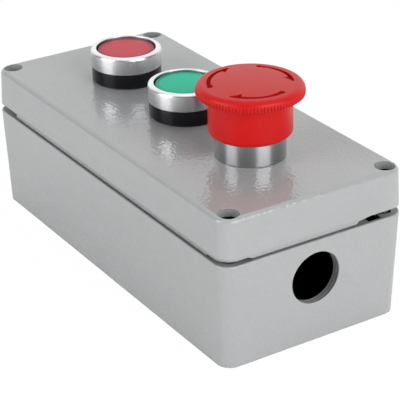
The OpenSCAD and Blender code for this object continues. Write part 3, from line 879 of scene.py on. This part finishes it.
def makeBarrel(colour):
    f, x, node = flush, buttonPlaces[colour], f"{colour}_barrel"
    r, end, top = radiusOf(node), lowOf(node), lowOf(f"{colour}_bezel")
    bore = radiusOf(f"{colour}_cap") + f["gap"]
    profile = [(f["bore"], end), (f["thread"] - 0.5, end), (f["thread"], end + 0.5), (f["thread"], panel)]
    profile += [(r - 0.55, panel)] + arc(r - 0.42, panel + 0.4, 0.4, -90, 0, 5)
    profile += [(r - 0.02, top - 1.0), (r - 0.1, top - 0.9), (r - 0.1, top - 0.75), (r - 0.02, top - 0.65)]
    profile += arc(r - 0.27, top - 0.25, 0.25, 0, 90, 4)
    profile += [(f["spigot"], top), (f["spigot"], top + 3), (bore, top + 3), (bore, panel + f["floor"]),
                (f["stem"], panel + f["floor"]), (f["stem"], panel), (f["bore"], panel)]
    piece = lathe(f"{colour}Barrel", profile, x, 192)
    dress(piece, "black")
    place(piece, "root", "black_plastic", node)


def makeBezel(colour):
    f, x, node = flush, buttonPlaces[colour], f"{colour}_bezel"
    low, high, r = lowOf(node), topOf(node), radiusOf(node)
    inner = radiusOf(f"{colour}_cap") + f["gap"]
    shoulder, crest, lip = f["shoulder"], f["crest"], 0.18
    profile = [(f["spigot"] + 0.03, low), (r - 0.3, low)] + arc(r - 0.25, low + 0.25, 0.25, -80, 0, 5)
    profile += arc(r - shoulder, high - shoulder - 0.1, shoulder, 0, 62, 10)
    profile += arc(inner + crest + lip, high - crest, crest, 65, 90, 4)
    profile += arc(inner + lip, high - lip, lip, 100, 180, 5)
    profile += [(inner, high - 3.0), (f["spigot"] + 0.03, high - 3.9)]
    piece = lathe(f"{colour}Bezel", profile, x, 192, smoothAngle=40)

    def choose(centre, normal):
        return "zinc" if math.hypot(centre.x - x, centre.y) < inner + 0.04 else f"{colour}Bezel"

    dress(piece, f"{colour}Bezel", "zinc", choose=choose)
    place(piece, "root", "satin_aluminium", node)


def makeCap(colour):
    x, node = buttonPlaces[colour], f"{colour}_cap"
    r, low, top, dish = radiusOf(node) - flush["slack"], lowOf(node), topOf(node), flush["dish"]
    under = top - 1.8
    profile = [(0, under), (r - 1.3, under), (r - 1.3, low), (r, low), (r, top - 0.35)]
    profile += arc(r - 0.3, top - 0.3, 0.3, 15, 90, 5)
    profile += [(r - 0.45, top - 0.02), (r - 0.65, top - dish), (r - 0.8, top - dish), (r - 1.05, top - 0.1)]
    profile += [(r * k, top - 0.05 * k * k - 0.03) for k in (0.85, 0.7, 0.5, 0.3, 0.15, 0)]
    piece = lathe(f"{colour}Cap", profile, x, 160, smoothAngle=50)
    dress(piece, f"{colour}Cap")
    place(piece, f"{colour}_button", f"{colour}_cap", node)


def makePanelSeal(colour):
    node = f"{colour}_panel_seal"
    r, low, high = radiusOf(node), lowOf(node), topOf(node)
    inner = flush["thread"] + 0.05
    profile = [(inner, low), (r - 0.1, low), (r, low + 0.1), (r, high - 0.1), (r - 0.1, high), (inner, high)]
    piece = lathe(f"{colour}PanelSeal", profile, buttonPlaces[colour], 128)
    dress(piece, "rubber")
    place(piece, "root", "seal_rubber", node)


# Stop button: turned collar and the red mushroom
collar = {"bore": 10.0, "chamber": 5.8, "core": 6.06, "thread": 10.9, "apron": 12.9, "footRound": 0.25,
          "topRound": 0.6}
mushroom = {
    "skirt": 15.7,
    "skirtGap": 0.35,
    "brimThick": 4.6,
    "brimFoot": 0.25,
    "edgeRound": 2.6,
    "crown": 0.6,
    "ceiling": 3.0,
    "hub": 9.0,
    "teeth": 100,
    "toothDepth": 0.5,
    "toothRise": 2.5,
    "toothTaper": 0.45,
    "toothFlank": (0.18, 0.68),
    "arrowRadius": 15.2,
    "arrowInner": 11.4,
    "arrowStart": 14.0,
    "arrowSweep": 62.0,
    "arrowHead": 14.0,
    "arrowBarb": 2.6,
    "arrowWidth": 1.35,
    "arrowDepth": 0.7,
    "arrowEdge": 0.32,
    "arrowDot": 0.75,
    "rings": 44,
}


def makeCollar():
    c = collar
    r, end, top = radiusOf("stop_collar"), lowOf("stop_collar"), topOf("stop_collar")
    chamber = lidTop + c["chamber"]
    foot = lidTop + 0.06
    profile = [(c["core"], end), (c["thread"] - 0.5, end), (c["thread"], end + 0.5), (c["thread"], panel)]
    profile += [(c["apron"], panel), (c["apron"], foot)]
    profile += arc(r - c["footRound"], foot + c["footRound"], c["footRound"], -90, 0, 4)
    profile += arc(r - c["topRound"], top - c["topRound"], c["topRound"], 0, 90, 5)
    profile += [(c["bore"], top), (c["bore"], chamber), (c["core"], chamber)]
    piece = lathe("stopCollar", profile, stopX, 192)
    dress(piece, "collar")
    place(piece, "root", "turned_steel", "stop_collar")


# Millimetres outside the nearest turning arrow, less than nought inside it; each is a bent bar with
# a dot at its tail and a head, where u runs along the head and v across it
def arrowDistance(angle, r):
    m = mushroom
    radius, width, barb = m["arrowRadius"], m["arrowWidth"], m["arrowBarb"]
    best = math.inf
    for turn in (0, 120, 240):
        along = -((math.degrees(angle) - turn - m["arrowStart"] + 180) % 360 - 180)
        beyond = max(0.0, -along, along - m["arrowSweep"])
        best = min(best, math.hypot(math.radians(beyond) * radius, r - radius) - width / 2)
        dot = math.hypot(math.radians(along) * radius, r - radius)
        best = min(best, dot - width * m["arrowDot"])
        u = (along - m["arrowSweep"]) / m["arrowHead"]
        v = (r - radius + barb) / (barb + width / 2)
        if -0.15 < u < 1.15:
            best = min(best, max(-u, u - 1, (u * 0.82 - v), v - 1) * 2.8)
    return best


def smoothStep(t):
    t = max(0.0, min(1.0, t))
    return t * t * (3 - 2 * t)


def makeMushroom():
    m = mushroom
    brim, skirtLow, top = radiusOf("stop_mushroom"), lowOf("stop_mushroom"), topOf("stop_mushroom")
    rimZ = top - m["crown"]
    brimLow = top - m["brimThick"]
    toothTop, (flankLow, flankHigh) = brimLow + m["toothRise"], m["toothFlank"]
    inner = radiusOf("stop_collar") + m["skirtGap"]
    ceiling = top - m["ceiling"]
    flat = brim - m["edgeRound"] - 0.2
    skirtRound = m["skirt"] - inner - 0.05
    outer = [(inner, skirtLow)]
    outer += arc(m["skirt"] - skirtRound, skirtLow + skirtRound, skirtRound, -88, 0, 10)
    outer += [(m["skirt"], brimLow - 0.4), (m["skirt"] + 0.1, brimLow)]
    outer += [(brim - m["toothDepth"] - 0.4, brimLow)]
    sideLow, sideHigh = brimLow + m["brimFoot"], rimZ - m["edgeRound"]
    outer += arc(brim - m["brimFoot"], sideLow, m["brimFoot"], -90, 0, 3)
    outer += [(brim, sideLow + (sideHigh - sideLow) * k / 4) for k in (1, 2, 3)]
    outer += arc(brim - m["edgeRound"], sideHigh, m["edgeRound"], 0, 88, 18)
    face = []
    for i in range(m["rings"] + 1):
        r = flat - (flat - m["arrowInner"]) * i / m["rings"]
        face.append((r, top - m["crown"] * (r / flat) ** 2))
    centre = [(flat * k, top - m["crown"] * k * k) for k in (0.6, 0.5, 0.4, 0.3, 0.2, 0.1, 0.0)]

    # Cuts the teeth into the brim and sinks the arrows into the face
    def shape(angle, r, z):
        if r > brim - m["toothDepth"] and brimLow - 0.01 < z < toothTop + 0.5:
            phase = (angle * m["teeth"] / (2 * math.pi)) % 1.0
            ridge = (abs(phase - 0.5) * 2 - flankLow) / (flankHigh - flankLow)
            deep = m["toothDepth"] * (1 - m["toothTaper"] * smoothStep((z - brimLow) / m["toothRise"]))
            floor = brim - deep * (1 - smoothStep(ridge))
            floor += m["toothDepth"] * smoothStep((z - toothTop + 0.25) / 0.5)
            return min(r, floor), z
        if z > rimZ - 0.2 and m["arrowInner"] - 0.2 < r < flat + 0.1:
            t = (m["arrowEdge"] / 2 - arrowDistance(angle, r)) / m["arrowEdge"]
            return r, z - m["arrowDepth"] * smoothStep(t)
        return r, z

    profile = [(0, ceiling), (inner, ceiling)] + outer + face + centre
    piece = lathe("stopMushroom", profile, stopX, m["teeth"] * 8, shape, smoothAngle=50)

    # Faces in the arrows take the darker groove red: painted shade in the grooves
    def choose(centre, normal):
        r = math.hypot(centre.x - stopX, centre.y)
        if centre.z < rimZ - 0.3 - m["arrowDepth"] or not m["arrowInner"] < r < flat:
            return "mushroom"
        away = arrowDistance(math.atan2(centre.y, centre.x - stopX), r)
        return "groove" if away < 0.1 else "mushroom"

    dress(piece, "mushroom", "groove", choose=choose)
    place(piece, "stop_head", "stop_red", "stop_mushroom")
    stud, hubLow, hubTop = flush["stem"], topOf("stop_core") - m["ceiling"] - 1.1, ceiling + 0.1
    profile = [(stud, hubLow), (m["hub"], hubLow), (m["hub"], hubTop), (stud, hubTop)]
    hub = lathe("mushroomHub", profile, stopX, 96)
    dress(hub, "mushroom")
    place(hub, "stop_head", "stop_red")


# Coil springs that their joints press together; wire radius and turns by the end of the node's name
coils = {"stop_return_spring": (0.55, 5), "return_spring": (0.4, 3), "block_spring": (0.3, 7)}
coilSteps, wireSides = 24, 8
closeEnds = 0.3


def makeSpring(node):
    wire, turns = next(size for ending, size in coils.items() if node.endswith(ending))
    low, high, r, x = lowOf(node) + wire, topOf(node) - wire, radiusOf(node) - wire, middleOf(node)
    loops = []
    for i in range(turns * coilSteps + 1):
        t = i / (turns * coilSteps)
        a = 2 * math.pi * turns * t
        z = low + (high - low) * ((1 - closeEnds) * t + closeEnds * smoothStep(t))
        loop = []
        for k in range(wireSides):
            b = 2 * math.pi * k / wireSides
            out = r + wire * math.cos(b)
            loop.append((x + out * math.cos(a), out * math.sin(a), z + wire * math.sin(b)))
        loops.append(loop)
    first, *rest = node.split("_")
    name = first + "".join(word.capitalize() for word in rest)
    piece = finishMesh(name, *bridgeLoops(loops), smoothAngle=50)
    dress(piece, "spring")
    place(piece, "root", "spring_steel", node)
    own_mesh(piece)


def makeSprings():
    for joint in frame["record"]["behaviour"]["joints"]:
        for item in joint.get("deforming_nodes", []):
            makeSpring(item["node"])


# Finishes of the CAD nodes that stay
endings = {"ring_nut": "black", "plunger": "ivory", "core": "ivory", "carrier": "ivory",
           "block_housing": "nylon", "terminals": "brass", "terminal_screws": "zinc", "bridges": "copper",
           "gasket": "rubber", "earth_screw": "brass", "earth_washer": "brass"}


def dressNodes():
    for name, node in frame["nodes"].items():
        for ending, finish in endings.items():
            if not name.endswith(ending):
                continue
            if not node.material_slots:
                node.data.materials.append(finishes[finish])
            for slot in node.material_slots:
                slot.material = finishes[finish]


makeBase()
print("base made")
makeLid()
print("lid made")
makeScrews()
for colour in ("red", "green"):
    makeBarrel(colour)
    makeBezel(colour)
    makeCap(colour)
    makePanelSeal(colour)
makeCollar()
makePanelSeal("stop")
makeMushroom()
makeSprings()
dressNodes()
print("buttons made")


# Floor, light and camera, in metres
studio = {"paper": 0.86, "paperGlow": 0.985, "sky": 0.14, "floorReach": 6.0, "aim": (0, 0, 0.05)}
# A wall behind and a ceiling that only glossy rays meet, and a soft fill for the far sides
glows = (
    {"rays": "Is Glossy Ray", "toward": (-0.77, 0.52, 0.38), "fade": (0.35, 0.75), "strength": 1.21},
    {"rays": "Is Glossy Ray", "toward": (0, 0, 1), "fade": (0.78, 0.93), "strength": 1.3},
    {"rays": "Is Diffuse Ray", "toward": (-0.55, 0.8, 0.25), "fade": (0.1, 0.7), "strength": 1.1},
)
lamps = {
    "topSoftbox": {"at": (0.1, 0.2, 1.1), "size": (1.2, 0.8), "power": 0.9},
    "leftSoftbox": {"at": (-0.08, -1.0, 0.45), "size": (0.7, 0.9), "power": 10},
    "rightSoftbox": {"at": (1.04, 0.14, 0.45), "size": (0.82, 0.9), "power": 13.5},
}
# Solved from the photograph's edges
cameraView = {
    "position": (0.50180, -0.30750, 0.31413),
    "right": (0.536972, 0.843417, -0.017578),
    "up": (-0.366661, 0.252104, 0.895546),
    "back": (0.75975, -0.474438, 0.444621),
    "lens": 147.55,
    "sensor": 36,
}


# Joins two shaders by a share and sends them out
def mixShaders(tree, share, a, b, surface):
    mix = tree.nodes.new("ShaderNodeMixShader")
    for value, socket in zip((share, a.outputs[0], b.outputs[0]), mix.inputs):
        link(tree, value, socket)
    link(tree, mix.outputs[0], surface)


def makeFloor():
    mesh = bpy.data.meshes.new("studioFloor")
    reach = studio["floorReach"]
    corners = [(-reach, -reach, 0), (reach, -reach, 0), (reach, reach, 0), (-reach, reach, 0)]
    mesh.from_pydata(corners, [], [(0, 1, 2, 3)])
    floor = addObject("studioFloor", mesh)
    material, tree, shader = startMaterial("floorPaper", Roughness=0.6)
    shader.inputs["Base Color"].default_value = (studio["paper"], studio["paper"], studio["paper"], 1)
    glow = addNode(tree, "ShaderNodeEmission", Strength=1.0)
    path = tree.nodes.new("ShaderNodeLightPath")
    share = mathNode(tree, "MULTIPLY", path.outputs["Is Camera Ray"], studio["paperGlow"])
    mixShaders(tree, share, shader, glow, tree.nodes["Material Output"].inputs["Surface"])
    floor.data.materials.append(material)


# Dim room round the glows, so that gloss and turned metal show light and dark; the camera sees it white
def makeWorld():
    world = bpy.data.worlds.new("studioWorld")
    bpy.context.scene.world = world
    world.use_nodes = True
    tree = world.node_tree
    tree.nodes.clear()
    white = addNode(tree, "ShaderNodeBackground", Color=(1, 1, 1, 1), Strength=1.0)
    sky = addNode(tree, "ShaderNodeBackground", Color=(1, 1, 1, 1))
    coords = tree.nodes.new("ShaderNodeTexCoord")
    path = tree.nodes.new("ShaderNodeLightPath")
    brightest = 0.0
    for glow in glows:
        facing = addNode(tree, "ShaderNodeVectorMath", operation="DOT_PRODUCT")
        facing.inputs[1].default_value = glow["toward"]
        link(tree, coords.outputs["Generated"], facing.inputs[0])
        light = remap(tree, facing.outputs["Value"], *glow["fade"], 0.0, glow["strength"])
        light = mathNode(tree, "MULTIPLY", light, path.outputs[glow["rays"]])
        brightest = mathNode(tree, "MAXIMUM", light, brightest)
    link(tree, mathNode(tree, "ADD", brightest, studio["sky"]), sky.inputs["Strength"])
    out = tree.nodes.new("ShaderNodeOutputWorld")
    mixShaders(tree, path.outputs["Is Camera Ray"], sky, white, out.inputs["Surface"])


def addLamp(name, settings):
    data = bpy.data.lights.new(name, "AREA")
    data.shape = "RECTANGLE"
    data.size, data.size_y = settings["size"]
    data.energy = settings["power"]
    lamp = addObject(name, data)
    lamp.location = settings["at"]
    aim = Vector(studio["aim"]) - Vector(settings["at"])
    lamp.rotation_euler = aim.to_track_quat("-Z", "Y").to_euler()


def makeCamera():
    data = bpy.data.cameras.new("photoCamera")
    data.lens = cameraView["lens"]
    data.sensor_width = cameraView["sensor"]
    data.clip_start = 0.01
    camera = addObject("photoCamera", data)
    axes = [cameraView[key] for key in ("right", "up", "back")]
    rows = [[axes[c][r] for c in range(3)] + [cameraView["position"][r]] for r in range(3)]
    camera.matrix_world = Matrix(rows + [[0, 0, 0, 1]])
    bpy.context.scene.camera = camera


makeFloor()
makeWorld()
for name, settings in lamps.items():
    addLamp(name, settings)
makeCamera()
bpy.context.scene.view_settings.view_transform = "Standard"

print("scene ready")
